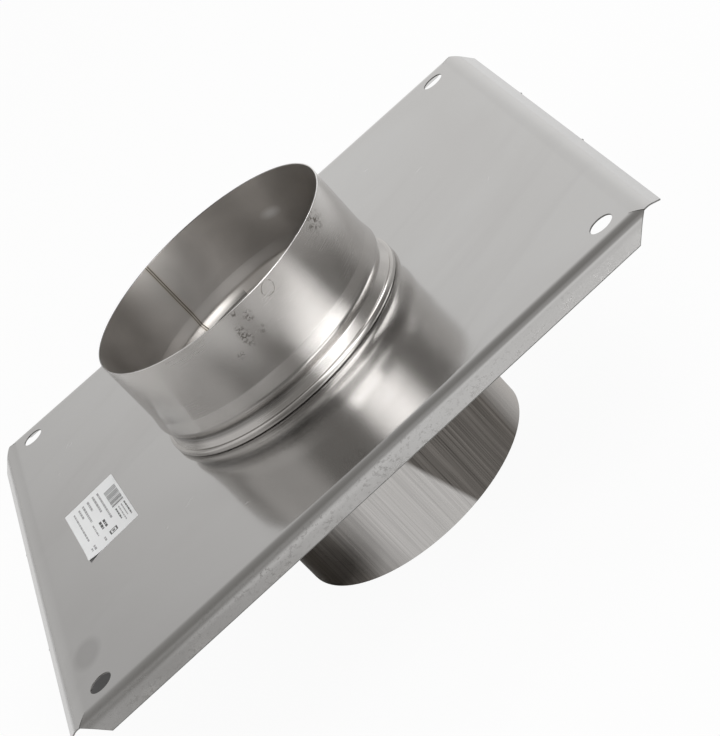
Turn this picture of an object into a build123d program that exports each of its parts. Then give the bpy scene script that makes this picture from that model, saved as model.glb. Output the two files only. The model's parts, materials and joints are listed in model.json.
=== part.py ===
from build123d import *
import math
import os

# A square stainless flashing plate with turned-down edges. A plain tube
# passes down through it, and a formed socket collar stands on top of it.
# Millimetres. +Z runs up the tube, and the origin is the middle of the
# tube's lower rim.

# Flashing plate
plate_sheet = 0.8
flat_width = 351.0
bend_radius = 10.0
bend_angle = 42.0
edge_leg = 9.0
blank_corner_cut = 25.5

# Fixing holes, inset from the bends on both sides of their corner
hole_diameter = 13.0
hole_inset = 14.5

# Short stubs on two edges, left where the blank was held in its sheet, and
# how far along the edge each one is from the edge's middle
stub_width = 1.6
stub_reach = 0.7
right_edge_stubs = (67.5, -46.0)
left_edge_stubs = (-47.0, 71.0)

# Lower tube, which hangs tube_drop below the plate's underside
tube_radius = 75.0
tube_sheet = 0.6
tube_drop = 109.7
tube_hole_gap = 0.25
weld_leg = 2.0

# Socket collar. Reaches and the neck's depth are measured from the lower
# tube's outside. Each rise starts where the one before it ends
collar_sheet = 0.6
socket_gap = 0.4
bead_reach = 3.6
bead_height = 4.4
crease_reach = 1.6
neck_depth = 1.0
neck_rise = 5.2
swell_reach = 1.3
swell_rise = 5.6
shoulder_rise = 8.6
socket_depth = 38.7

# Rounding of the collar's outline. The bead's two rounds are shares of its
# height and of the ledge that it makes, so that they stay nearly full
bead_fullness = 0.46
ledge_fullness = 0.8
crease_round = 0.3
neck_round = 1.6
swell_round = 4.0
shoulder_round = 6.0

# Paper label, placed from the plate's left bend and from its middle
label_length = 70.0
label_width = 35.0
label_paper = 0.12
label_turn = 5.8
label_inset = 41.6
label_offset = -6.2

# Levels up the tube
plate_under = tube_drop
plate_top = plate_under + plate_sheet
bead_top = plate_top + bead_height

# Side of the square that the fixing holes stand on
hole_spacing = flat_width - 2 * hole_inset

# Radii that the pieces share
plate_hole_radius = tube_radius + tube_hole_gap
socket_radius = tube_radius + socket_gap + collar_sheet

# Shape of a turned-down edge: the top of its bend, how far out and how far
# down its tip lies, and its length flattened along the middle of the sheet
bend_turn = math.radians(bend_angle)
bend_top_radius = bend_radius + plate_sheet
tip_out = flat_width / 2 + bend_top_radius * math.sin(bend_turn) + edge_leg * math.cos(bend_turn)
tip_down = bend_top_radius * (1 - math.cos(bend_turn)) + edge_leg * math.sin(bend_turn)
blank_half = flat_width / 2 + (bend_radius + plate_sheet / 2) * bend_turn + edge_leg
edge_half = blank_half - blank_corner_cut


def turned(section):
    """Turn a section, drawn as radius and height, about the tube's axis."""
    return revolve(Plane.XZ * section, Axis.Z, 360)


def edge_section():
    """Section of a turned-down edge: its bend and the straight leg past it."""
    bend = CenterArc((flat_width / 2, -bend_top_radius), bend_top_radius, 90, -bend_angle)
    leg = Line(bend @ 1, (tip_out, -tip_down))
    return make_face(offset(Wire([bend, leg]), plate_sheet, side=Side.RIGHT).edges())


def bent_edge():
    """The right edge, mitred to its neighbours and cut at both corners."""
    strip = extrude(Plane.XZ * edge_section(), blank_half, both=True)
    mitre = Polyline((0, 0), (blank_half, -blank_half), (blank_half, blank_half), close=True)
    edge = strip & extrude(make_face(mitre), blank_half, both=True)
    for end in (-1, 1):
        corner_cut = Plane(
            origin=(tip_out, end * edge_half, -tip_down),
            z_dir=(math.cos(bend_turn), end, -math.sin(bend_turn)),
        )
        edge = split(edge, bisect_by=corner_cut, keep=Keep.BOTTOM)
    return edge


def edge_stub(along):
    """A stub that stands out of the right edge, half of it sunk in the sheet."""
    stub = Box(2 * stub_reach, stub_width, plate_sheet, align=(Align.CENTER, Align.CENTER, Align.MAX))
    return Pos(tip_out, along, -tip_down) * Rot(0, bend_angle, 0) * stub


def base_plate():
    """Plate with its four bent edges, stubs, tube hole and fixing holes."""
    plate = Box(flat_width, flat_width, plate_sheet, align=(Align.CENTER, Align.CENTER, Align.MAX))
    plate += [Rot(0, 0, turn) * bent_edge() for turn in (0, 90, 180, 270)]
    plate += [edge_stub(along) for along in right_edge_stubs]
    plate += [Rot(0, 0, 180) * edge_stub(along) for along in left_edge_stubs]
    plate -= Cylinder(plate_hole_radius, 4 * plate_sheet)
    fixing_hole = Cylinder(hole_diameter / 2, 4 * plate_sheet)
    plate -= [spot * fixing_hole for spot in GridLocations(hole_spacing, hole_spacing, 2, 2)]
    return Pos(0, 0, plate_top) * plate


def lower_tube():
    """Plain tube that ends inside the bead, with its weld under the plate."""
    inside = tube_radius - tube_sheet
    wall = Polyline((inside, 0), (tube_radius, 0), (tube_radius, bead_top), (inside, bead_top), close=True)
    weld_foot = plate_under - weld_leg
    weld = Polyline(
        (inside, weld_foot),
        (tube_radius, weld_foot),
        (tube_radius + weld_leg, plate_under),
        (inside, plate_under),
        close=True,
    )
    return turned(make_face(wall) + make_face(weld))


def socket_collar():
    """Formed collar: a bead on the plate, a neck, a swell and the open socket."""
    bead_radius = tube_radius + bead_reach
    neck = bead_top + neck_rise
    swell = neck + swell_rise
    shoulder = swell + shoulder_rise
    bead_round = bead_fullness * bead_height
    ledge_round = min(ledge_fullness * (bead_reach - crease_reach), bead_round)
    outside = FilletPolyline(
        (plate_hole_radius, plate_top),
        (bead_radius, plate_top),
        (bead_radius, bead_top),
        (tube_radius + crease_reach, bead_top),
        (tube_radius - neck_depth, neck),
        (socket_radius + swell_reach, swell),
        (socket_radius, shoulder),
        (socket_radius, shoulder + socket_depth),
        radius=[bead_round, ledge_round, crease_round, neck_round, swell_round, shoulder_round],
    )
    return turned(make_face(offset(outside, collar_sheet, side=Side.LEFT).edges()))


def label():
    """Paper label lying on the plate, beside the collar."""
    paper = Box(label_width, label_length, label_paper, align=(Align.CENTER, Align.CENTER, Align.MIN))
    return Pos(label_inset - flat_width / 2, label_offset, plate_top) * Rot(0, 0, label_turn) * paper


nodes = {
    "base_plate": base_plate(),
    "lower_tube": lower_tube(),
    "socket_collar": socket_collar(),
    "label": label(),
}

os.makedirs("parts", exist_ok=True)
for name, shape in nodes.items():
    export_step(shape, f"parts/{name}.step")
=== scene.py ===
import json
import math
import random

import bmesh
import bpy
import numpy as np
from mathutils import Matrix, Vector, noise
from mathutils.geometry import delaunay_2d_cdt


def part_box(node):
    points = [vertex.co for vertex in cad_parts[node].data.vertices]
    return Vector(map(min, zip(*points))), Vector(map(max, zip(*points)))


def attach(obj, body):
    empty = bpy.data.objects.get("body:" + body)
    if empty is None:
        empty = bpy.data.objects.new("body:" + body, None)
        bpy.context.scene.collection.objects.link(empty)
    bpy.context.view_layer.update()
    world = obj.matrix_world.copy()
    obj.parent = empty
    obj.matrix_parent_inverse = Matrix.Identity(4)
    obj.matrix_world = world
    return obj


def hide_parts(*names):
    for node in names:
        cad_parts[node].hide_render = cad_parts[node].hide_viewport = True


# A square stainless flashing plate with turned-down edges, a plain tube
# through it and a formed socket collar on top. Metres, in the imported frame.

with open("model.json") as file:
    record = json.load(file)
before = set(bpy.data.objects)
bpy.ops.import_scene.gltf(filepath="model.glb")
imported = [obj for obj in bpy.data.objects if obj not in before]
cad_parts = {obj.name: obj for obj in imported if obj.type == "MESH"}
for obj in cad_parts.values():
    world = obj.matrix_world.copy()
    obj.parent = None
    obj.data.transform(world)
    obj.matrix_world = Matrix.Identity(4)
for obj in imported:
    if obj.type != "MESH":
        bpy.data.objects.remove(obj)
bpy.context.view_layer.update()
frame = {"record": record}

MM = 0.001

# Main sizes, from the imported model's nodes and mounts
mounts = {mount["name"]: mount for mount in frame["record"]["mounts"]}
plate_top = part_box("label")[0].z
rim_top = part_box("socket_collar")[1].z
bead_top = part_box("lower_tube")[1].z
edge_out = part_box("base_plate")[1].y
tube_radius = mounts["spigot"]["dims"]["r_mm"] * MM
socket_bore = mounts["socket"]["dims"]["r_mm"] * MM
hole_radius = mounts["corner_holes"]["dims"]["hole_r_mm"] * MM
hole_out = mounts["corner_holes"]["dims"]["spacing_x_mm"] / 2 * MM

# Sheets and the plate's folded edges
plate_sheet = 0.8 * MM
tube_sheet = 0.6 * MM
bend_turn = math.radians(42)
bend_top_radius = 10.8 * MM
soft_bend_radius = 17.6 * MM
edge_leg = 9.0 * MM
edge_ease = 0.12 * MM
corner_cut = 25.5 * MM
tube_hole_gap = 0.25 * MM
weld_leg = 2.0 * MM
burr = 0.14 * MM

# The plate's second material, on its sheared edges
CUT_EDGE = 1

# Where the short stubs stand along the right and the left edge
stub_width = 1.6 * MM
stub_reach = 0.7 * MM
right_stubs = (67.5 * MM, -46.0 * MM)
left_stubs = (47.0 * MM, -71.0 * MM)

# Twist and sag of the flat plate. Each is the rise at a point one radius of
# the tube out along both axes, or along one of them. The plate is flat under
# the collar, and the rise grows to its full size over a length past it
twist = -0.39 * MM
sag_x = 0.09 * MM
sag_y = -0.06 * MM
flat_reach = 80.0 * MM
rise_run = 45.0 * MM

# Socket collar: reaches beyond the lower tube, and rises that add up
bead_reach = 3.6 * MM
crease_reach = 1.6 * MM
neck_depth = 1.0 * MM
neck_rise = 5.2 * MM
swell_reach = 1.3 * MM
swell_rise = 5.6 * MM
shoulder_rise = 8.6 * MM
collar_rounds = (2.024 * MM, 1.6 * MM, 0.3 * MM, 1.6 * MM, 4.0 * MM, 6.0 * MM)

# Lengthwise weld seams, as angles round the tube from +X. Each one fades to a
# share of its height at its sheet's rim
collar_seam = math.radians(113.5)
tube_seam = math.radians(82)
seam_half = 0.75 * MM
seam_height = 0.10 * MM
seam_fade = 0.5 * MM
seam_at_rim = 0.3

# Paper label, and its print. Along runs from the end behind the collar, and
# across from the side next to the collar. The block is along from, along to,
# across from, across to, and the mark is along, across
label_width = 35.0 * MM
label_length = 70.0 * MM
label_thick = 0.12 * MM
label_turn = math.radians(5.8)
corner_lift = 1.1 * MM
PAPER, DARK_INK, FINE_INK = 0, 1, 2
stripe_block = (14.0 * MM, 39.0 * MM, 1.5 * MM, 9.4 * MM)
square_mark = (61.5 * MM, 15.2 * MM)

# Rows of print in millimetres: along from, along to, middle across, height, ink
print_rows = [
    (42.0, 62.0, 2.2, 0.8, DARK_INK),
    (42.0, 60.0, 4.3, 0.7, FINE_INK),
    (42.0, 63.0, 6.2, 0.7, FINE_INK),
    (42.0, 58.0, 8.2, 0.9, DARK_INK),
    (7.0, 47.0, 12.6, 1.2, FINE_INK),
    (6.0, 31.0, 15.8, 1.3, FINE_INK),
    (41.0, 51.0, 17.2, 1.5, DARK_INK),
    (40.0, 51.0, 19.6, 1.5, DARK_INK),
    (6.5, 21.0, 19.7, 1.3, FINE_INK),
    (6.5, 32.0, 23.2, 1.3, FINE_INK),
    (37.0, 53.0, 23.8, 0.8, FINE_INK),
    (7.0, 21.0, 26.2, 1.2, FINE_INK),
    (7.0, 49.0, 29.9, 1.0, FINE_INK),
    (60.0, 65.0, 21.4, 1.2, FINE_INK),
    (58.0, 64.0, 28.6, 1.4, FINE_INK),
    (59.0, 63.0, 30.6, 1.0, FINE_INK),
]

# Plate marks as x, y, direction in degrees and half length, in millimetres
plate_scratches = [
    (-140.4, 110.3, 62, 3.4),
    (-138.0, 108.2, 40, 1.4),
    (-82.8, -71.5, 28, 2.6),
    (-85.2, -73.6, 12, 1.2),
    (-99.9, -77.6, 50, 1.0),
    (-150.5, 84.0, 75, 1.6),
    (-56.0, -121.0, -20, 1.5),
    (118.0, 62.0, 15, 2.4),
    (96.0, 122.0, -35, 2.0),
    (141.0, -20.0, 70, 1.8),
]

# Stain on the plate, and where its near edge's scuffs begin and are full
plate_stain = ((-164.0 * MM, -126.0 * MM), (8.0 * MM, 13.0 * MM))
near_edge = (-176.0 * MM, -179.0 * MM)

# Marks on the collar as degrees from the near side toward the right, height,
# and half sizes round and up in millimetres. The curl is what its two ovals
# leave between them. The patches of painted shade and painted highlight are on
# the inside
curl_mark = (16.0, 168.0, 4.3, 3.7)
curl_inner = (16.0, 168.0, 3.8, 3.2)
rubbed_mark = (52.0, 168.5, 6.0, 4.2)
painted_shade_mark = (-159.0, 156.0, 17.0, 22.0)
painted_highlight_mark = (146.7, 150.0, 5.2, 2.6)
collar_flecks = [
    (0.0, 171.0, 1.4, 1.6),
    (-2.6, 158.5, 2.6, 5.6),
    (-9.0, 151.5, 1.8, 1.8),
    (3.4, 165.0, 2.0, 2.6),
    (4.0, 154.5, 1.6, 2.2),
]

# Glow of the floor around the object, as the share that is not its own shade.
# The ovals, by middle and half sizes, are where it glows, and a patch by the
# tube's foot whose glow is hidden from reflections
floor_glow = 0.94
floor_oval = ((0, 0.78), (0.609, 1.26))
floor_foot = ((-0.095, -0.025), (0.045, 0.060))

# Half the floor's width, and its gap under the tube's rim
floor_half = 6.0
floor_gap = 0.2 * MM

# Pale studio walls, the last one narrow and very bright, in degrees and
# brightness: middle azimuth from the near side toward the right, half width,
# lower and upper end, softness, level
studio_walls = [
    (145, 40, -8, 38, 9, 0.36),
    (158, 24, -8, 10, 6, 0.12),
    (206, 24, -8, 30, 9, 0.17),
    (184, 60, -8, 44, 18, 0.15),
    (280, 32, -4, 62, 9, 0.40),
    (280, 55, 42, 70, 9, 0.25),
    (37, 15, -8, 24, 15, 4.50),
]

# Soft round lights overhead: azimuth, elevation, radius, softness, level
studio_glows = [
    (30, 76, 17.5, 3, 0.50),
    (184, 82, 9, 6, 0.15),
]

# Dim surroundings behind all of these
studio_dim = (0.257, 0.25, 0.24, 1)

# Lamps high on the right: name, azimuth, elevation, distance, size, level
studio_boxes = [
    ("high near box", 32, 50, 2.6, (1.32, 1.10), 4.2),
    ("high far box", 124, 50, 2.6, (1.12, 1.12), 4.2),
]

# Camera, from the photograph's perspective
camera_place = (0.09694, -1.15181, 0.56353)
camera_turn = (59.5463, 39.2771, -16.6991)
camera_lens = 113.116


def mesh_object(name, mesh, body="root"):
    """An object around a mesh, smooth but for its real edges, riding on a body."""
    for face in mesh.polygons:
        face.use_smooth = True
    mesh.set_sharp_from_angle(angle=math.radians(38))
    piece = bpy.data.objects.new(name, mesh)
    bpy.context.scene.collection.objects.link(piece)
    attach(piece, body)
    return piece


def rounded(corners, rounds, step=math.radians(7)):
    """Points along an outline whose inner corners are rounded by those radii."""
    points = [Vector(corners[0])]
    for before, corner, after, radius in zip(corners, corners[1:], corners[2:], rounds):
        corner = Vector(corner)
        back = (Vector(before) - corner).normalized()
        on = (Vector(after) - corner).normalized()
        half = back.angle(on) / 2
        centre = corner + (back + on).normalized() * (radius / math.sin(half))
        start = corner + back * (radius / math.tan(half)) - centre
        turn = math.pi - 2 * half
        side = 1 if back.x * on.y - back.y * on.x < 0 else -1
        count = max(2, math.ceil(turn / step))
        for k in range(count + 1):
            angle = side * turn * k / count
            cos, sin = math.cos(angle), math.sin(angle)
            points.append(centre + Vector((cos * start.x - sin * start.y, sin * start.x + cos * start.y)))
    points.append(Vector(corners[-1]))
    return points


def resampled(points, longest):
    """The same line with its long runs divided."""
    line = [points[0]]
    for a, b in zip(points, points[1:]):
        count = max(1, math.ceil((b - a).length / longest))
        line += [a.lerp(b, k / count) for k in range(1, count + 1)]
    return line


def offset_line(points, distance):
    """The line moved to its left by a distance, point by point."""
    moved = []
    for k, point in enumerate(points):
        ahead = (points[min(k + 1, len(points) - 1)] - points[max(k - 1, 0)]).normalized()
        moved.append(point + Vector((-ahead.y, ahead.x)) * distance)
    return moved


def ring_angles(seam):
    """Angles round the tube: even ones, with finer steps across the seam."""
    coarse = np.radians(np.arange(0, 360, 1.5))
    fine = seam + np.radians(np.arange(-1.5, 1.51, 0.15))
    apart = np.abs((coarse - seam + math.pi) % (2 * math.pi) - math.pi)
    return np.sort(np.concatenate([coarse[apart > math.radians(1.6)], fine % (2 * math.pi)]))


def turned(name, outline, seam, shape):
    """A closed outline of (radius, height) turned about the tube's axis.
    shape gives how far each point moves outward, for its angle and outline index."""
    angles = ring_angles(seam)
    count, sides = len(outline), len(angles)
    points = []
    for angle in angles:
        for k, (radius, height) in enumerate(outline):
            reach = radius + shape(angle, k, height)
            points.append((reach * math.cos(angle), reach * math.sin(angle), height))
    faces = []
    for i in range(sides):
        for k in range(count):
            a, b = i * count, (i + 1) % sides * count
            m = (k + 1) % count
            faces.append((a + k, b + k, b + m, a + m))
    mesh = bpy.data.meshes.new(name)
    mesh.from_pydata(points, [], faces)
    mesh.validate()
    return mesh_object(name, mesh)


def seam_lift(angle, seam):
    """Height of a weld seam's low rounded bead and the dips on its sides."""
    across = ((angle - seam + math.pi) % (2 * math.pi) - math.pi) * tube_radius / seam_half
    bead = 1.25 * math.exp(-(across / 0.55) ** 2)
    dips = 0.45 * math.exp(-((abs(across) - 1.1) / 0.4) ** 2)
    return seam_height * (bead - dips)


def socket_collar():
    """Formed collar: a bead on the plate, a neck, a swell and the open socket."""
    neck = bead_top + neck_rise
    swell = neck + swell_rise
    shoulder = swell + shoulder_rise
    wall = socket_bore + tube_sheet
    corners = [
        (tube_radius + tube_hole_gap, plate_top),
        (tube_radius + bead_reach, plate_top),
        (tube_radius + bead_reach, bead_top),
        (tube_radius + crease_reach, bead_top),
        (tube_radius - neck_depth, neck),
        (wall + swell_reach, swell),
        (wall, shoulder),
        (wall, rim_top),
    ]
    outside = resampled(rounded(corners, collar_rounds), 3 * MM)
    inside = offset_line(outside, tube_sheet)
    for line in (outside, inside):
        line[-1:] = [line[-1] - Vector((0, 0.6 * MM)), line[-1] - Vector((0, burr))]
    top = [Vector((wall - burr / 3, rim_top - burr / 3)), Vector((wall - burr, rim_top))]
    top += [Vector((socket_bore + burr, rim_top)), Vector((socket_bore + burr / 3, rim_top - burr / 3))]
    outline = [*outside, *top, *reversed(inside)]

    def shape(angle, k, height):
        side = 1 if k < len(outside) + 2 else -1
        free = max(0.0, (height - shoulder) / (rim_top - shoulder))
        out_of_round = 0.16 * MM * free * math.sin(3 * angle + 0.6)
        out_of_round += 0.10 * MM * free * math.sin(5 * angle)
        ease = min(1.0, (rim_top - height) / seam_fade + seam_at_rim)
        return min(out_of_round, 0.2 * MM) + side * seam_lift(angle, collar_seam) * ease

    collar = turned("collar", outline, collar_seam, shape)
    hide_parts("socket_collar")
    return collar


def lower_tube():
    """Plain tube that ends inside the bead."""
    inner = tube_radius - tube_sheet
    foot = [(tube_radius - burr, 0), (tube_radius - burr / 3, burr / 3)]
    foot += [(tube_radius, burr), (tube_radius, 0.7 * MM)]
    head = [(tube_radius, bead_top), (inner, bead_top)]
    back = [(inner, 0.7 * MM), (inner, burr), (inner + burr / 3, burr / 3), (inner + burr, 0)]
    outside = resampled([Vector(p) for p in foot + head[:1]], 4 * MM)
    inside = resampled([Vector(p) for p in head[1:] + back], 4 * MM)
    outline = outside + inside

    def shape(angle, k, height):
        side = 1 if k < len(outside) else -1
        free = max(0.0, 1 - height / plate_top)
        ease = min(1.0, height / seam_fade + seam_at_rim)
        return 0.12 * MM * free * math.sin(2 * angle + 1.2) + side * seam_lift(angle, tube_seam) * ease

    tube = turned("tube", outline, tube_seam, shape)
    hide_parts("lower_tube")
    return tube


def tube_weld():
    """Weld bead that joins the tube to the plate's underside, with its ripples."""
    plate_under = plate_top - plate_sheet
    centre = Vector((tube_radius - 0.1 * MM, plate_under + 0.1 * MM))
    turns = np.radians(np.arange(0, 91, 15))
    arc = [centre + Vector((math.sin(t), -math.cos(t))) * weld_leg for t in turns]
    highest = plate_under - 0.02 * MM
    outline = [Vector((tube_radius - 0.2 * MM, highest)), *arc]
    outline = [Vector((p.x, min(p.y, highest))) for p in outline]
    angles = np.radians(np.arange(0, 360, 0.75))
    points, faces = [], []
    count = len(outline)
    for i, angle in enumerate(angles):
        wander = noise.noise(Vector((math.cos(angle), math.sin(angle), 0.3)) * 9)
        ripple = 1 + 0.10 * math.sin(angle * 130) + 0.10 * wander
        for p in outline:
            radius = tube_radius + max(0.0, (p.x - tube_radius)) * ripple if p.x > tube_radius else p.x
            height = plate_under - (plate_under - p.y) * (ripple if p.y < plate_under - 0.1 * MM else 1)
            points.append((radius * math.cos(angle), radius * math.sin(angle), height))
        for k in range(count):
            a, b, m = i * count, (i + 1) % len(angles) * count, (k + 1) % count
            faces.append((a + k, b + k, b + m, a + m))
    mesh = bpy.data.meshes.new("weld_bead")
    mesh.from_pydata(points, [], faces)
    weld = mesh_object("weld_bead", mesh)
    return weld


# Fold of a turned-down edge. The sheet springs back after bending, so its bend
# is softer than the nominal one. Both have the same straight faces, which would
# meet at the apex
flat_half = edge_out - bend_top_radius * math.sin(bend_turn) - edge_leg * math.cos(bend_turn)
apex_out = bend_top_radius * math.tan(bend_turn / 2)
soft_start = apex_out - soft_bend_radius * math.tan(bend_turn / 2)
mid_radius = soft_bend_radius - plate_sheet / 2
bend_length = mid_radius * bend_turn
leg_left = apex_out + edge_leg - soft_bend_radius * math.tan(bend_turn / 2)
bend_half = flat_half + soft_start
blank_half = bend_half + bend_length + leg_left
edge_drop = bend_top_radius * (1 - math.cos(bend_turn)) + edge_leg * math.sin(bend_turn)
nominal_blank = flat_half + (bend_top_radius - plate_sheet / 2) * bend_turn + edge_leg
edge_half = nominal_blank - corner_cut


def folded(past):
    """How far out and down a point lies, and its normal's tilt, when it is that
    far past the start of a bend in the flat blank."""
    turn = min(max(past, 0) / mid_radius, bend_turn)
    leg = max(past - bend_length, 0)
    out = bend_half + min(past, 0) + soft_bend_radius * math.sin(turn) + leg * math.cos(turn)
    down = soft_bend_radius * (1 - math.cos(turn)) + leg * math.sin(turn)
    return out, down, turn


def cut_line(past):
    """How far along an edge its corner cut lies, at that place in the blank."""
    out, down, _ = folded(past)
    return edge_half + math.cos(bend_turn) * (edge_out - out) + math.sin(bend_turn) * (edge_drop - down)


def corner_line():
    """Blank outline of the right edge's upper end, from the flat's corner to the tip."""
    mitre = []
    past = 0.0
    step = 0.5 * MM
    while folded(past)[0] < cut_line(past):
        out, _, turn = folded(past)
        mitre.append((bend_half + past, out - plate_sheet * math.sin(turn)))
        past += step
    rest = np.linspace(past, bend_length + leg_left, 12)
    return mitre + [(bend_half + p, cut_line(p)) for p in rest]


def blank_outline():
    """The flat blank's outline, all the way round, with its long runs divided."""
    upper = corner_line()
    right = [(x, -y) for x, y in upper] + upper[::-1]
    outline = []
    for turn in range(4):
        spin = Matrix.Rotation(turn * math.pi / 2, 2)
        outline += [spin @ Vector(p) for p in right]
    cleaned = [outline[0]]
    for point in outline[1:]:
        if (point - cleaned[-1]).length > 0.05 * MM:
            cleaned.append(point)
    return resampled(cleaned, 4.9 * MM)[:-1]


def drawn_in(loop, distance):
    """A closed loop moved into the sheet, which lies on its left."""
    moved = []
    for before, point, after in zip(loop[-1:] + loop[:-1], loop, loop[1:] + loop[:1]):
        back, on = (point - before).normalized(), (after - point).normalized()
        left = Vector((-back.y - on.y, back.x + on.x)).normalized()
        reach = min(distance / max(left.dot(Vector((-on.y, on.x))), 0.3), 1.5 * distance)
        moved.append(point + left * reach)
    return moved


def circle_points(centre, radius, count):
    """Points round a hole."""
    angles = [2 * math.pi * k / count for k in range(count)]
    return [Vector((centre[0] + radius * math.cos(a), centre[1] + radius * math.sin(a))) for a in angles]


def inside_loop(point, loop):
    """Whether a point lies inside a closed loop of points."""
    found = False
    for a, b in zip(loop, loop[1:] + loop[:1]):
        if (a.y > point.y) != (b.y > point.y):
            if point.x < (b.x - a.x) * (point.y - a.y) / (b.y - a.y) + a.x:
                found = not found
    return found


def plate_rise(x, y):
    """Rise of the twisted, sagging plate at a point, none under the collar."""
    u, v = x / tube_radius, y / tube_radius
    away = min(max((math.hypot(x, y) - flat_reach) / rise_run, 0), 1)
    ease = away * away * (3 - 2 * away)
    return ease * (twist * u * v + sag_x * u * u + sag_y * v * v)


def plate_point(x, y, depth):
    """A point of the blank after folding and twisting, that deep in the sheet."""
    axis = 0 if abs(x) > abs(y) else 1
    out, down, turn = folded(abs((x, y)[axis]) - bend_half)
    place, normal = Vector((x, y, -down)), Vector((0, 0, math.cos(turn)))
    place[axis] = math.copysign(out, place[axis])
    normal[axis] = math.copysign(math.sin(turn), place[axis])
    place -= normal * depth
    place.z += plate_top + plate_rise(place.x, place.y)
    return place


def plate_grid():
    """Grid lines of the blank: even across the flat, close across a bend."""
    flat = np.linspace(-bend_half + MM, bend_half - MM, 71)
    bend = bend_half + np.linspace(0, bend_length, 13)
    leg = bend_half + bend_length + np.array([0.15, 0.4, 0.7]) * leg_left
    past = np.concatenate([bend, leg])
    return np.concatenate([-past[::-1], flat, past])


def far_from(spot, loop, distance):
    """Whether a point keeps that distance from every run of a closed loop."""
    for a, b in zip(loop, loop[1:] + loop[:1]):
        run = b - a
        share = min(max((spot - a).dot(run) / run.length_squared, 0.0), 1.0)
        if (spot - a - run * share).length < distance:
            return False
    return True


def sheet_loops():
    """The sheet's outer outline and its holes, each with the sheet on its left."""
    loops = [blank_outline(), circle_points((0, 0), tube_radius + tube_hole_gap, 200)[::-1]]
    for sx in (-1, 1):
        for sy in (-1, 1):
            loops.append(circle_points((sx * hole_out, sy * hole_out), hole_radius, 56)[::-1])
    return loops


def sheet_faces(loops):
    """Points and triangles of the flat blank inside the loops, whose own points
    come first."""
    outline, holes = loops[0], loops[1:]
    points, edges = [], []
    for loop in loops:
        first = len(points)
        points += loop
        edges += [(first + k, first + (k + 1) % len(loop)) for k in range(len(loop))]
    centres = [sum(loop, Vector((0, 0))) / len(loop) for loop in holes]
    rings = [(centre, (loop[0] - centre).length) for centre, loop in zip(centres, holes)]
    lines = plate_grid()
    for x in lines:
        for y in lines:
            spot = Vector((x, y))
            if any((spot - c).length < r + 1.2 * MM for c, r in rings):
                continue
            if max(abs(x), abs(y)) > bend_half - 1e-6:
                if not (inside_loop(spot, outline) and far_from(spot, outline, 0.4 * MM)):
                    continue
            points.append(spot)
    found = delaunay_2d_cdt(points, edges, [], 1, 1e-7)
    place = {source: k for k, sources in enumerate(found[3]) for source in sources}
    kept = []
    for face in found[2]:
        middle = sum((found[0][k] for k in face), Vector((0, 0))) / len(face)
        if inside_loop(middle, outline) and all((middle - c).length > r for c, r in rings):
            kept.append(face)
    return found[0], kept, place


def base_plate():
    """The folded plate with its holes, a closed sheet with eased edges."""
    loops = sheet_loops()
    flat_points, faces, place = sheet_faces([drawn_in(loop, edge_ease) for loop in loops])
    shape = bmesh.new()
    used = {k for face in faces for k in face}
    top = {k: shape.verts.new(plate_point(*flat_points[k], 0)) for k in used}
    low = {k: shape.verts.new(plate_point(*flat_points[k], plate_sheet)) for k in used}
    for face in faces:
        shape.faces.new([top[k] for k in face])
        shape.faces.new([low[k] for k in reversed(face)])
    first = 0
    for loop in loops:
        rows = [[top[place[first + k]] for k in range(len(loop))]]
        for depth in (edge_ease, plate_sheet - edge_ease):
            rows.append([shape.verts.new(plate_point(*point, depth)) for point in loop])
        rows.append([low[place[first + k]] for k in range(len(loop))])
        for upper, lower in zip(rows, rows[1:]):
            for k in range(len(loop)):
                m = (k + 1) % len(loop)
                shape.faces.new([upper[m], upper[k], lower[k], lower[m]]).material_index = CUT_EDGE
        first += len(loop)
    bmesh.ops.recalc_face_normals(shape, faces=shape.faces)
    add_stubs(shape)
    mesh = bpy.data.meshes.new("flashing_plate")
    shape.to_mesh(mesh)
    shape.free()
    plate = mesh_object("flashing_plate", mesh)
    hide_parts("base_plate")
    return plate


def add_stubs(shape):
    """Short stubs on two edges, left where the blank was held in its sheet."""
    box_faces = ((0, 1, 3, 2), (4, 6, 7, 5), (0, 4, 5, 1), (2, 3, 7, 6), (0, 2, 6, 4), (1, 5, 7, 3))
    inset = edge_ease / 2
    for side, places in ((1, right_stubs), (-1, left_stubs)):
        for along in places:
            corners = []
            for out in (-0.2 * MM, stub_reach):
                for y in (along - stub_width / 2, along + stub_width / 2):
                    for depth in (inset, plate_sheet - inset):
                        corners.append(plate_point(side * (blank_half + out), y, depth))
            verts = [shape.verts.new(c) for c in corners]
            for face in box_faces:
                turned_face = face if side > 0 else face[::-1]
                shape.faces.new([verts[k] for k in turned_face]).material_index = CUT_EDGE


def printed_fields():
    """Plain print: a striped block, rows of dashes and a small square mark.
    Each field is (along from, along to, across from, across to, ink)."""
    draw = random.Random(5)
    fields = []
    along, end = stripe_block[0], stripe_block[1]
    while along < end:
        bar = draw.uniform(0.35, 1.25) * MM
        fields.append((along, min(along + bar, end), stripe_block[2], stripe_block[3], DARK_INK))
        along += bar + draw.uniform(0.4, 1.0) * MM
    for *row, ink in print_rows:
        start, stop, middle, height = [size * MM for size in row]
        while start < stop:
            dash = draw.uniform(1.4, 4.2) * MM
            fields.append((start, min(start + dash, stop), middle - height / 2, middle + height / 2, ink))
            start += dash + 0.7 * MM
    middle_along, middle_across = square_mark
    for reach, ink in ((2.6 * MM, DARK_INK), (1.7 * MM, PAPER), (0.9 * MM, DARK_INK)):
        spans = (middle_along - reach, middle_along + reach, middle_across - reach, middle_across + reach)
        fields.append((*spans, ink))
    return fields


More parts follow.
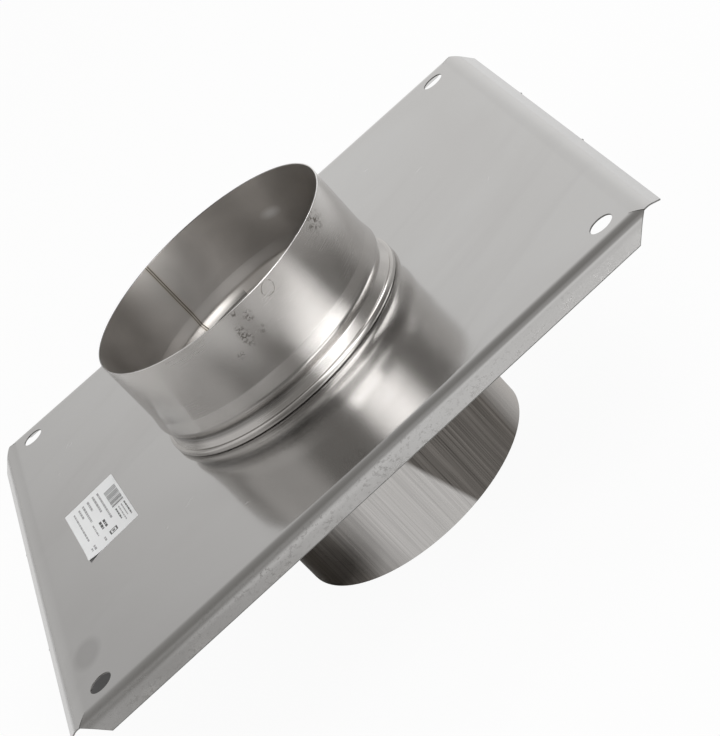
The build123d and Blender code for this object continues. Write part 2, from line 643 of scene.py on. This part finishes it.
def grid_lines(size, marks, step):
    """Even lines over a length, plus one at each printed field's edge."""
    lines = sorted([*np.arange(0, size + step / 2, step), *marks])
    kept = [lines[0]]
    for line in lines[1:]:
        if line - kept[-1] > 0.01 * MM:
            kept.append(line)
    return kept


def paper_label():
    """Label stuck to the plate, printed with plain fields, one corner lifting."""
    low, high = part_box("label")
    centre = (low + high) / 2
    cos, sin = math.cos(label_turn), math.sin(label_turn)
    fields = printed_fields()
    acrosses = grid_lines(label_width, [edge for field in fields for edge in field[2:4]], 1.25 * MM)
    alongs = grid_lines(label_length, [edge for field in fields for edge in field[0:2]], 1.25 * MM)
    shape = bmesh.new()
    layers = []
    for depth in (0, label_thick):
        rows = []
        for across in acrosses:
            row = []
            for along in alongs:
                u, v = 0.5 - across / label_width, 0.5 - along / label_length
                x = centre.x + cos * u * label_width - sin * v * label_length
                y = centre.y + sin * u * label_width + cos * v * label_length
                lift = corner_lift * max(0.0, (-u - v - 0.70) / 0.30) ** 2
                ripple = 0.05 * MM * (0.5 + 0.5 * noise.noise(Vector((u * 5, v * 9, 2.0))))
                z = plate_top + plate_rise(x, y) + label_thick - depth + lift + ripple
                row.append(shape.verts.new((x, y, z)))
            rows.append(row)
        layers.append(rows)
    for depth, rows in enumerate(layers):
        for i in range(len(acrosses) - 1):
            for j in range(len(alongs) - 1):
                corners = [rows[i][j], rows[i + 1][j], rows[i + 1][j + 1], rows[i][j + 1]]
                face = shape.faces.new(corners if depth == 0 else corners[::-1])
                across, along = (acrosses[i] + acrosses[i + 1]) / 2, (alongs[j] + alongs[j + 1]) / 2
                for field in fields:
                    if depth == 0 and field[0] < along < field[1] and field[2] < across < field[3]:
                        face.material_index = field[4]
    upper, lower = layers
    last_i, last_j = len(acrosses) - 1, len(alongs) - 1
    ring = [(i, 0) for i in range(last_i)] + [(last_i, j) for j in range(last_j)]
    ring += [(i, last_j) for i in range(last_i, 0, -1)] + [(0, j) for j in range(last_j, 0, -1)]
    for (a, b), (c, d) in zip(ring, ring[1:] + ring[:1]):
        shape.faces.new([upper[a][b], lower[a][b], lower[c][d], upper[c][d]])
    bmesh.ops.recalc_face_normals(shape, faces=shape.faces)
    mesh = bpy.data.meshes.new("paper_label")
    shape.to_mesh(mesh)
    shape.free()
    label = mesh_object("paper_label", mesh)
    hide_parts("label")
    return label


def add(tree, kind, inputs=None, **settings):
    """A shader node. An input is a value or another node's output."""
    node = tree.nodes.new("ShaderNode" + kind)
    for name, value in settings.items():
        setattr(node, name, value)
    for key, value in (inputs or {}).items():
        if isinstance(value, bpy.types.NodeSocket):
            tree.links.new(value, node.inputs[key])
        else:
            node.inputs[key].default_value = value
    return node


def new_material(name):
    """An empty node material, its tree, and the place on the object."""
    material = bpy.data.materials.new(name)
    material.use_nodes = True
    tree = material.node_tree
    tree.nodes.clear()
    return material, tree, add(tree, "TexCoord").outputs["Object"]


def stretched(tree, place, factors, turn=(0, 0, 0)):
    """The place vector, turned and then scaled along each axis."""
    spun = add(tree, "Mapping", {"Vector": place, "Rotation": turn}, vector_type="TEXTURE").outputs[0]
    return add(tree, "VectorMath", {0: spun, 1: factors}, operation="MULTIPLY").outputs[0]


def clouds(tree, place, scale, detail=3.0, rough=0.5, distortion=0.0):
    """Noise between about 0 and 1."""
    inputs = {"Vector": place, "Scale": scale, "Detail": detail, "Roughness": rough}
    inputs["Distortion"] = distortion
    return add(tree, "TexNoise", inputs).outputs["Fac"]


def remap(tree, value, low, high, to_low=0.0, to_high=1.0):
    """The value moved from one range to another, and held inside it."""
    inputs = {0: value, 1: low, 2: high, 3: to_low, 4: to_high}
    return add(tree, "MapRange", inputs).outputs[0]


def calc(tree, operation, a, b=0.0, c=0.0):
    """One step of arithmetic."""
    return add(tree, "Math", {0: a, 1: b, 2: c}, operation=operation).outputs[0]


def mixed(tree, share, first, second):
    """A colour between two."""
    node = add(tree, "Mix", {0: share, 6: first, 7: second}, data_type="RGBA")
    return node.outputs[2]


def times(tree, a, b):
    """The product of two values."""
    return calc(tree, "MULTIPLY", a, b)


def laid(tree, colour, mask, share, tone):
    """A colour with another one laid over it, by a share of a mask."""
    return mixed(tree, times(tree, mask, share), colour, tone)


def raised(tree, value, mask, amount):
    """A value that is higher by an amount where a mask is."""
    return calc(tree, "ADD", value, times(tree, mask, amount))


def hairlines(tree, place, factors, turn, width, seed, amount=0.5):
    """Thin long scratches: narrow contours of a stretched noise, broken up."""
    shifted = add(tree, "VectorMath", {0: place, 1: (seed, seed * 0.7, seed * 1.3)}).outputs[0]
    field = clouds(tree, stretched(tree, shifted, factors, turn), 1.0, 1.0, 0.4)
    near = calc(tree, "ABSOLUTE", calc(tree, "SUBTRACT", field, 0.5))
    line = remap(tree, near, 0.0, width, 1.0, 0.0)
    patch = remap(tree, clouds(tree, shifted, 38.0, 2.0), 1 - amount, 1.08 - amount)
    return times(tree, line, patch)


def metal(tree, colour, roughness, height, bump_distance, upright_blur=0.0):
    """Metal shader with a bumped normal, ready on the output. Its reflections
    can be blurred more up and down than round the tube."""
    bump = add(tree, "Bump", {"Strength": 1.0, "Distance": bump_distance, "Height": height})
    inputs = {"Base Color": colour, "Metallic": 1.0, "Roughness": roughness, "Normal": bump.outputs[0]}
    if upright_blur:
        round_tube = add(tree, "Tangent", direction_type="RADIAL", axis="Z").outputs[0]
        inputs |= {"Tangent": round_tube, "Anisotropic": upright_blur, "Anisotropic Rotation": 0.25}
    shader = add(tree, "BsdfPrincipled", inputs)
    add(tree, "OutputMaterial", {"Surface": shader.outputs[0]})
    return shader


def grey(value, warm=0.0):
    """A near-neutral colour, warmer as warm grows."""
    return (value * (1 + warm), value, value * (1 - warm), 1)


def part(tree, vector, axis):
    """One part of a vector."""
    return add(tree, "SeparateXYZ", {0: vector}).outputs[axis]


def dot(tree, first, second):
    """Dot product of two vectors."""
    return add(tree, "VectorMath", {0: first, 1: second}, operation="DOT_PRODUCT").outputs["Value"]


def levelled(tree, vector):
    """A vector without its height."""
    return add(tree, "VectorMath", {0: vector, 1: (1, 1, 0)}, operation="MULTIPLY").outputs[0]


def unit(tree, vector):
    """A vector at length one."""
    return add(tree, "VectorMath", {0: vector}, operation="NORMALIZE").outputs[0]


def window(tree, value, low, high, soft):
    """1 between two values and 0 outside them, with soft ends."""
    rise = remap(tree, value, low - soft, low + soft)
    fall = remap(tree, value, high - soft, high + soft, 1.0, 0.0)
    return times(tree, rise, fall)


def unrolled(tree, place):
    """The tube's wall laid flat: metres round from the near side, and metres up."""
    parts = add(tree, "SeparateXYZ", {0: place})
    angle = calc(tree, "ARCTAN2", parts.outputs["X"], times(tree, parts.outputs["Y"], -1.0))
    along = times(tree, angle, tube_radius)
    return add(tree, "CombineXYZ", {0: along, 1: parts.outputs["Z"]}).outputs[0]


def spot(tree, place, middle, size, turn=0.0, soft=0.5):
    """An oval mark: 1 in its middle and 0 past its size, before the softness."""
    inputs = {"Vector": place, "Location": (*middle, 0), "Rotation": (0, 0, math.radians(turn))}
    inputs["Scale"] = (*size, 1000.0)
    local = add(tree, "Mapping", inputs, vector_type="TEXTURE").outputs[0]
    away = add(tree, "VectorMath", {0: local}, operation="LENGTH").outputs["Value"]
    return remap(tree, away, 1 - soft, 1 + soft, 1.0, 0.0)


def wall_spot(tree, wall, mark, turn=0.0, soft=0.5):
    """An oval mark on the unrolled wall, from its degrees, height and half sizes."""
    degrees, height, wide, tall = mark
    middle = (math.radians(degrees) * tube_radius, height * MM)
    return spot(tree, wall, middle, (wide * MM, tall * MM), turn, soft)


def most(tree, masks):
    """The strongest of several masks."""
    found = masks[0]
    for mask in masks[1:]:
        found = calc(tree, "MAXIMUM", found, mask)
    return found


def plate_material():
    """Smooth mill-finish stainless sheet with smudges and handling scratches."""
    material, tree, place = new_material("plate steel")
    flat = levelled(tree, place)
    smudge = clouds(tree, place, 9.0, 4.0, 0.5, 0.6)
    sweep = clouds(tree, stretched(tree, place, (7, 24, 7), (0, 0, 0.35)), 1.0, 3.0, 0.55, 0.8)
    sweep = remap(tree, sweep, 0.54, 0.70)
    grain = clouds(tree, stretched(tree, place, (60, 1800, 1800)), 1.0, 2.0)
    lines = hairlines(tree, place, (9, 120, 1), (0, 0, 0.5), 0.007, 0.37, 0.42)
    marks = [spot(tree, flat, (x * MM, y * MM), (length * MM, 0.28 * MM), turn)
             for x, y, turn, length in plate_scratches]
    scratch = most(tree, marks)
    stain = spot(tree, flat, *plate_stain, 0, 0.25)
    down = calc(tree, "SUBTRACT", plate_top, part(tree, place, "Z"))
    near = remap(tree, part(tree, place, "Y"), *near_edge)
    on_edge = times(tree, near, remap(tree, down, 1.6 * MM, 4.2 * MM))
    low_edge = times(tree, near, remap(tree, down, 6.0 * MM, 10.0 * MM))
    scuff = clouds(tree, stretched(tree, place, (420, 420, 650)), 1.0, 4.0, 0.7)
    scuff = times(tree, remap(tree, scuff, 0.52, 0.64), on_edge)
    worn = clouds(tree, place, 60.0, 3.0, 0.6)
    scuff = times(tree, scuff, remap(tree, worn, 0.42, 0.60, 0.25, 1.0))
    rub = times(tree, remap(tree, worn, 0.40, 0.62), low_edge)
    colour = mixed(tree, remap(tree, smudge, 0.3, 0.7), grey(0.575, 0.01), grey(0.615, 0.004))
    colour = laid(tree, colour, sweep, 0.15, grey(0.50, 0.012))
    colour = laid(tree, colour, stain, 0.55, grey(0.42, 0.01))
    colour = laid(tree, colour, scuff, 0.65, grey(0.24, 0.03))
    colour = laid(tree, colour, rub, 0.45, grey(0.34, 0.03))
    colour = laid(tree, colour, scratch, 0.8, grey(0.80))
    rough = remap(tree, smudge, 0.25, 0.75, 0.10, 0.15)
    rough = raised(tree, rough, sweep, 0.012)
    rough = raised(tree, rough, most(tree, [scratch, scuff, rub]), 0.22)
    rough = raised(tree, rough, lines, 0.08)
    height = calc(tree, "SUBTRACT", times(tree, grain, 0.15), most(tree, [lines, scratch, scuff]))
    metal(tree, colour, rough, height, 0.003 * MM)
    return material


def cut_edge_material():
    """Sheared edge of the sheet: darker and duller, with fine shear marks."""
    material, tree, place = new_material("sheared edge")
    shear = clouds(tree, place, 1400.0, 3.0, 0.7)
    stained = clouds(tree, place, 80.0, 3.0, 0.6)
    colour = mixed(tree, remap(tree, stained, 0.3, 0.7), grey(0.11, 0.04), grey(0.20, 0.03))
    metal(tree, colour, remap(tree, shear, 0.3, 0.7, 0.28, 0.42), shear, 0.02 * MM)
    return material


def seam_mask(tree, place, angle):
    """Distance from a lengthwise seam, across it, in metres, and its side's mask."""
    out = (math.cos(angle), math.sin(angle), 0)
    along = (-math.sin(angle), math.cos(angle), 0)
    across, facing = dot(tree, place, along), dot(tree, place, out)
    return calc(tree, "ABSOLUTE", across), calc(tree, "GREATER_THAN", facing, 0.0)


def collar_material():
    """Rolled stainless collar with forming scuffs and a heat-tinted seam. Its colour also holds painted
    shade and painted highlights.
    """
    material, tree, place = new_material("collar steel")
    wall = unrolled(tree, place)
    up = part(tree, place, "Z")
    outward = unit(tree, levelled(tree, place))
    facing_out = dot(tree, add(tree, "NewGeometry").outputs["Normal"], outward)
    inside = remap(tree, facing_out, -0.05, -0.35)
    smudge = clouds(tree, place, 24.0, 4.0, 0.55, 0.5)
    grain = clouds(tree, stretched(tree, place, (120, 120, 3000)), 1.0, 2.0)
    rolled = hairlines(tree, place, (10, 10, 700), (0, 0, 0), 0.012, 0.53, 0.45)
    patches = [wall_spot(tree, wall, mark, 0, 0.6) for mark in collar_flecks]
    ragged = clouds(tree, place, 900.0, 3.0, 0.7)
    fine = remap(tree, clouds(tree, place, 800.0, 4.0, 0.8), 0.51, 0.56)
    specks = times(tree, most(tree, patches), fine)
    curl_ends = [wall_spot(tree, wall, mark, 40, 0.06) for mark in (curl_mark, curl_inner)]
    curl = calc(tree, "SUBTRACT", *curl_ends)
    curl = times(tree, curl, remap(tree, ragged, 0.44, 0.52))
    rubbed = wall_spot(tree, wall, rubbed_mark)
    rubbed = times(tree, rubbed, remap(tree, clouds(tree, place, 520.0, 3.0, 0.7), 0.50, 0.58))
    scuffs = most(tree, [specks, curl, rubbed])
    colour = mixed(tree, remap(tree, smudge, 0.3, 0.7), grey(0.52, 0.03), grey(0.60, 0.03))
    inner = mixed(tree, remap(tree, smudge, 0.35, 0.65), grey(0.54, 0.045), grey(0.62, 0.045))
    colour = mixed(tree, inside, colour, inner)
    colour = laid(tree, colour, scuffs, 0.8, (0.10, 0.085, 0.07, 1))
    # Painted shade: the neck's crease is darker on the left of the near side, standing for the dark it
    # mirrors there.
    neck_painted_shade = window(tree, up, plate_top + 7.6 * MM, plate_top + 12.0 * MM, 0.8 * MM)
    neck_painted_shade = times(tree, neck_painted_shade, remap(tree, part(tree, wall, "X"), 0.004, -0.012))
    colour = laid(tree, colour, neck_painted_shade, 0.6, grey(0.12, 0.03))
    # Painted shade on the inside wall, far left, where it would otherwise catch too much light.
    painted_inner_shade = times(tree, wall_spot(tree, wall, painted_shade_mark, 0, 0.6), inside)
    colour = laid(tree, colour, painted_inner_shade, 0.75, grey(0.33, 0.045))
    # Painted highlight: a bright spot on the inside wall, standing for a reflected light.
    painted_inner_highlight = times(tree, wall_spot(tree, wall, painted_highlight_mark, 0, 0.6), inside)
    colour = laid(tree, colour, painted_inner_highlight, 0.7, grey(1.0))
    # Painted highlight and shade on the rim's top: pale where it faces the near right, dark on the far
    # side.
    rim = remap(tree, up, rim_top - 0.35 * MM, rim_top - 0.15 * MM)
    near = remap(tree, dot(tree, outward, toward(25, 0)), -0.5, 0.3)
    rim_painted_light = mixed(tree, near, grey(0.16, 0.03), grey(0.94, 0.01))
    colour = laid(tree, colour, rim, 0.9, rim_painted_light)
    across, facing = seam_mask(tree, place, collar_seam)
    tint = times(tree, remap(tree, across, 2.4 * MM, 0.6 * MM), facing)
    beside = calc(tree, "ABSOLUTE", calc(tree, "SUBTRACT", across, 0.7 * MM))
    edges = times(tree, remap(tree, beside, 0.35 * MM, 0.1 * MM), facing)
    colour = laid(tree, colour, tint, 0.3, (0.36, 0.30, 0.20, 1))
    colour = laid(tree, colour, edges, 0.85, (0.07, 0.055, 0.04, 1))
    rough = remap(tree, smudge, 0.25, 0.75, 0.21, 0.27)
    rough = raised(tree, rough, most(tree, [inside, rim]), 0.14)
    rough = raised(tree, rough, most(tree, [rolled, scuffs]), 0.12)
    height = calc(tree, "SUBTRACT", times(tree, grain, 0.2), most(tree, [rolled, scuffs]))
    metal(tree, colour, rough, height, 0.002 * MM, 0.65)
    return material


def tube_material():
    """Stainless tube with fine lines along it. Its colour holds painted reflections:
    dark steel on the left, a pale band in front and pale on the right, with random
    pale streaks toward the back.
    """
    material, tree, place = new_material("tube steel")
    wall = unrolled(tree, place)
    around = part(tree, wall, "X")
    lines = clouds(tree, stretched(tree, wall, (1500, 9, 1)), 1.0, 3.0, 0.75)
    streaks = clouds(tree, stretched(tree, wall, (330, 3, 1)), 1.0, 2.0, 0.5)
    bands = remap(tree, clouds(tree, stretched(tree, wall, (26, 0.6, 1)), 1.0, 1.0, 0.4), 0.48, 0.56)
    away = calc(tree, "ABSOLUTE", around)
    bands = times(tree, bands, remap(tree, away, 0.085, 0.105))
    # Painted reflection: a pale band in front, slanting with height. The dark steel beside it paints the
    # dark reflections on the left.
    light = remap(tree, around, math.radians(-40) * tube_radius, math.radians(-15) * tube_radius)
    slant = calc(tree, "MULTIPLY_ADD", part(tree, wall, "Y"), 0.29, around)
    light = times(tree, light, remap(tree, slant, 0.0225, 0.0250, 1.0, 0.0))
    # Painted reflection: pale on the right side and on round the back.
    right = remap(tree, around, math.radians(54) * tube_radius, math.radians(80) * tube_radius)
    # Random pale streaks together with the painted reflection band.
    pale_streaks_and_painted_reflection = most(tree, [bands, light])
    fine = calc(tree, "ADD", times(tree, lines, 0.65), times(tree, streaks, 0.35))
    fine = remap(tree, fine, 0.36, 0.64)
    dark = mixed(tree, fine, grey(0.05, 0.10), grey(0.17, 0.08))
    pale = mixed(tree, fine, grey(0.37, 0.03), grey(0.52, 0.03))
    colour = mixed(tree, right, mixed(tree, pale_streaks_and_painted_reflection, dark, pale), grey(0.70, 0.02))
    mottle = clouds(tree, place, 30.0, 3.0)
    rough = remap(tree, mottle, 0.3, 0.7, 0.22, 0.30)
    shader = metal(tree, colour, rough, fine, 0.012 * MM)
    shader.inputs["Specular Tint"].default_value = (0.5, 0.48, 0.46, 1)
    return material


def weld_material():
    """Bright weld bead with heat tint."""
    material, tree, place = new_material("weld steel")
    tint = clouds(tree, place, 60.0, 3.0, 0.6)
    colour = mixed(tree, remap(tree, tint, 0.35, 0.65), (0.42, 0.34, 0.24, 1), grey(0.52, 0.02))
    height = clouds(tree, place, 900.0, 3.0)
    metal(tree, colour, remap(tree, tint, 0.3, 0.7, 0.25, 0.4), height, 0.03 * MM)
    return material


def label_material(name, dark, light):
    """Matt paper or the ink on it, with a fine fibre and faint handling marks."""
    material, tree, place = new_material(name)
    fibre = clouds(tree, place, 900.0, 4.0, 0.6)
    handled = clouds(tree, place, 45.0, 3.0, 0.6)
    share = times(tree, fibre, remap(tree, handled, 0.3, 0.6, 0.6, 1.0))
    colour = mixed(tree, share, dark, light)
    bump = add(tree, "Bump", {"Strength": 1.0, "Distance": 0.01 * MM, "Height": fibre})
    inputs = {"Base Color": colour, "Roughness": 0.55, "Normal": bump.outputs[0]}
    shader = add(tree, "BsdfPrincipled", inputs)
    add(tree, "OutputMaterial", {"Surface": shader.outputs[0]})
    return material


def floor_material():
    """Pale floor that looks white to the camera and in the steel. Its matt shade,
    which takes the object's shadow, shows only faintly near the object. From
    below the floor is clear, so that the underside can be seen."""
    material, tree, place = new_material("pale floor")
    path = add(tree, "LightPath")
    foot = spot(tree, place, *floor_foot, 0, 0.35)
    mirrored = times(tree, path.outputs["Is Glossy Ray"], calc(tree, "SUBTRACT", 1.0, foot))
    seen = calc(tree, "MAXIMUM", path.outputs["Is Camera Ray"], mirrored)
    seen = calc(tree, "MAXIMUM", seen, path.outputs["Is Transmission Ray"])
    shade = mixed(tree, floor_shade(tree, place), (0.82, 0.82, 0.82, 1), (0.28, 0.27, 0.26, 1))
    shade = mixed(tree, plate_shadow(tree, place), shade, (0.16, 0.16, 0.16, 1))
    matt = add(tree, "BsdfDiffuse", {"Color": shade})
    glow = add(tree, "Emission", {"Color": (1, 1, 1, 1), "Strength": 1.0})
    share = times(tree, seen, floor_share(tree, place))
    both = add(tree, "MixShader", {0: share, 1: matt.outputs[0], 2: glow.outputs[0]})
    below = add(tree, "NewGeometry").outputs["Backfacing"]
    clear = add(tree, "BsdfTransparent")
    open_below = add(tree, "MixShader", {0: below, 1: both.outputs[0], 2: clear.outputs[0]})
    add(tree, "OutputMaterial", {"Surface": open_below.outputs[0]})
    return material


def floor_shade(tree, place):
    """Darker paint on the floor, in a strip toward the camera and softly on the
    right. The steel mirrors it."""
    across, back = part(tree, place, "X"), part(tree, place, "Y")
    drift = calc(tree, "MULTIPLY_ADD", back, 0.13, 0.10)
    aside = calc(tree, "ABSOLUTE", calc(tree, "ADD", across, drift))
    near = remap(tree, back, -0.39, -0.45)
    strip = times(tree, near, remap(tree, aside, 0.04, 0.12, 1.0, 0.0))
    to_right = remap(tree, dot(tree, place, toward(60, 0)), 0.24, 0.50, 0.0, 0.75)
    return calc(tree, "MAXIMUM", strip, to_right)


def floor_share(tree, place):
    """How much the floor glows: around and behind the object, and less in the
    painted shade on the left, which is seen through a fixing hole."""
    around = spot(tree, place, *floor_oval, 0, 1 / 15)
    behind = remap(tree, part(tree, place, "Y"), 1.2, 1.8, 0.0, 0.82)
    open_floor = calc(tree, "MAXIMUM", around, behind)
    open_floor = times(tree, open_floor, remap(tree, part(tree, place, "X"), -0.54, -0.30))
    lit = calc(tree, "SUBTRACT", floor_glow, plate_shadow(tree, place))
    return times(tree, open_floor, calc(tree, "MAXIMUM", lit, 0.0))


def plate_shadow(tree, place):
    """A painted shade on the floor's far left. It stands in for the plate's
    shadow, which the glow would hide."""
    across, back = part(tree, place, "X"), part(tree, place, "Y")
    starts = times(tree, remap(tree, back, 0.056, 0.066), remap(tree, across, -0.244, -0.236))
    fades = remap(tree, back, 0.10, 0.27, 1.0, 0.0)
    fades = times(tree, fades, remap(tree, across, -0.20, 0.09, 1.0, 0.0))
    return times(tree, starts, fades)


def floor():
    """Wide flat floor under the tube's rim."""
    mesh = bpy.data.meshes.new("floor")
    corners = [(x * floor_half, y * floor_half, 0) for x, y in ((-1, -1), (1, -1), (1, 1), (-1, 1))]
    mesh.from_pydata(corners, [], [(0, 1, 2, 3)])
    mesh.materials.append(floor_material())
    ground = bpy.data.objects.new("floor", mesh)
    ground.location.z = -floor_gap
    bpy.context.scene.collection.objects.link(ground)


def toward(azimuth, elevation):
    """Direction in degrees. Azimuth 0 is the near side, and 90 the right."""
    a, e = math.radians(azimuth), math.radians(elevation)
    return Vector((math.sin(a) * math.cos(e), -math.cos(a) * math.cos(e), math.sin(e)))


def softbox(name, azimuth, elevation, distance, size, level):
    """An area lamp that faces the object and looks that bright."""
    data = bpy.data.lights.new(name, "AREA")
    data.shape = "RECTANGLE"
    data.size, data.size_y = size
    data.energy = level * math.pi * size[0] * size[1]
    lamp = bpy.data.objects.new(name, data)
    way = toward(azimuth, elevation)
    lamp.location = Vector((0, 0, 0.12)) + way * distance
    lamp.rotation_euler = way.to_track_quat("Z", "Y").to_euler()
    bpy.context.scene.collection.objects.link(lamp)
    return lamp


def panel(tree, way, azimuth, half, low, high, soft, level):
    """A soft-edged light area of the surroundings, in degrees round and up."""
    facing = dot(tree, unit(tree, levelled(tree, way)), toward(azimuth, 0))
    share = remap(tree, facing, toward(half + soft, 0).y * -1, toward(half - soft, 0).y * -1)
    up = part(tree, way, "Z")
    share = times(tree, share, remap(tree, up, toward(0, low - soft).z, toward(0, low + soft).z))
    share = times(tree, share, remap(tree, up, toward(0, high + soft).z, toward(0, high - soft).z))
    return times(tree, share, level)


def overhead(tree, way, azimuth, elevation, radius, soft, level):
    """A soft-edged round light of the surroundings, in degrees."""
    facing = dot(tree, way, toward(azimuth, elevation))
    share = remap(tree, facing, toward(0, 90 - radius - soft).z, toward(0, 90 - radius + soft).z)
    return times(tree, share, level)


def world_light():
    """Dim warm surroundings: pale walls, a bright narrow one, and glows overhead."""
    world = bpy.data.worlds.new("studio")
    bpy.context.scene.world = world
    world.use_nodes = True
    tree = world.node_tree
    tree.nodes.clear()
    way = add(tree, "TexCoord").outputs["Generated"]
    walls = 0.0
    for wall in studio_walls:
        walls = calc(tree, "ADD", walls, panel(tree, way, *wall))
    for light in studio_glows:
        walls = calc(tree, "ADD", walls, overhead(tree, way, *light))
    dim = add(tree, "Background", {"Color": studio_dim, "Strength": 1.0})
    pale = add(tree, "Background", {"Color": (1, 1, 1, 1), "Strength": walls})
    both = add(tree, "AddShader", {0: dim.outputs[0], 1: pale.outputs[0]})
    add(tree, "OutputWorld", {"Surface": both.outputs[0]})


def lights():
    """Soft studio light: two high boxes on the right, and pale surroundings."""
    world_light()
    for box in studio_boxes:
        softbox(*box)


def camera():
    """Camera at the photograph's place and angle."""
    data = bpy.data.cameras.new("camera")
    data.lens = camera_lens
    data.sensor_width = 36
    data.clip_end = 50
    view = bpy.data.objects.new("camera", data)
    view.location = camera_place
    view.rotation_euler = [math.radians(turn) for turn in camera_turn]
    bpy.context.scene.collection.objects.link(view)
    bpy.context.scene.camera = view


def dress(piece, *materials):
    """Give a piece its materials."""
    for material in materials:
        piece.data.materials.append(material)


camera()
floor()
lights()
dress(base_plate(), plate_material(), cut_edge_material())
dress(socket_collar(), collar_material())
dress(lower_tube(), tube_material())
dress(tube_weld(), weld_material())
dress(
    paper_label(),
    label_material("label paper", (0.80, 0.81, 0.82, 1), (0.88, 0.89, 0.90, 1)),
    label_material("dark ink", (0.06, 0.06, 0.06, 1), (0.10, 0.10, 0.10, 1)),
    label_material("fine ink", (0.30, 0.30, 0.31, 1), (0.40, 0.40, 0.41, 1)),
)
bpy.context.scene.view_settings.view_transform = "Standard"
